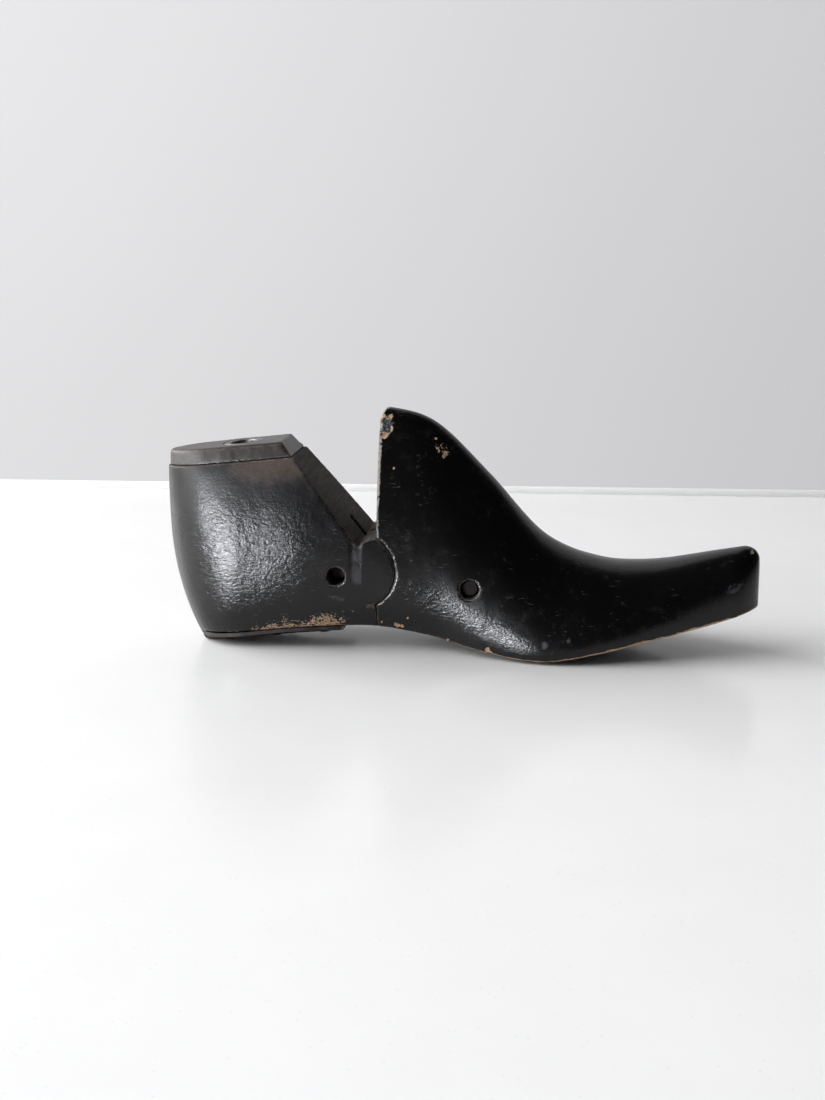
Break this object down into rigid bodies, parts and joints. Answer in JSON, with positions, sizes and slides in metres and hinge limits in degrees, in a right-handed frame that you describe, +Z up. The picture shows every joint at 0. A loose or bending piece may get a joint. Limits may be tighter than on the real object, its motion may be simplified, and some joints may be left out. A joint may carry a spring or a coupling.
{
  "type": "shoe last",
  "caption": "Hinged wooden shoe last in black lacquer: fore part and heel block turn on a knuckle joint, with a sprung link, top plate, jack socket and steel heel plate.",
  "frame": {"origin": "centre of the bounding box's base, on the surface the last stands on", "axes": "+X from heel to toe, +Z up, -Y towards the inner side of the foot"},
  "size_m": [0.2422, 0.075, 0.0977],
  "materials": {
    "lacquered_wood": "black lacquer, crinkled and worn",
    "top_plate_wood": "worn black lacquer",
    "dull_steel": "dull"
  },
  "bodies": {
    "fore_body": {"forepart": "lacquered_wood", "front_pin": "dull_steel"},
    "heel_body": {"heel_block": "lacquered_wood", "top_plate": "top_plate_wood", "jack_thimble": "dull_steel", "heel_plate": "dull_steel", "heel_plate_nail_1": "dull_steel", "heel_plate_nail_2": "dull_steel", "heel_plate_nail_3": "dull_steel", "heel_plate_nail_4": "dull_steel", "heel_plate_nail_5": "dull_steel", "heel_plate_nail_6": "dull_steel", "heel_plate_nail_7": "dull_steel", "rear_pin": "dull_steel"},
    "link_body": {"spring_link": "dull_steel"}
  },
  "joints": [
    {"name": "heel_fold", "type": "hinge", "parent": "fore_body", "child": "heel_body", "pos_m": [-0.03945, 0.00038, 0.03403], "axis": [0, 1, 0], "range_deg": [0, 38]},
    {"name": "link_swing", "type": "hinge", "parent": "fore_body", "child": "link_body", "pos_m": [0.00635, 0.00038, 0.02803], "axis": [0, 1, 0], "range_deg": [0, 6.5]}
  ],
  "couplings": [
    {"joint": "link_swing", "follows": "heel_fold", "ratio": 0.154}
  ]
}
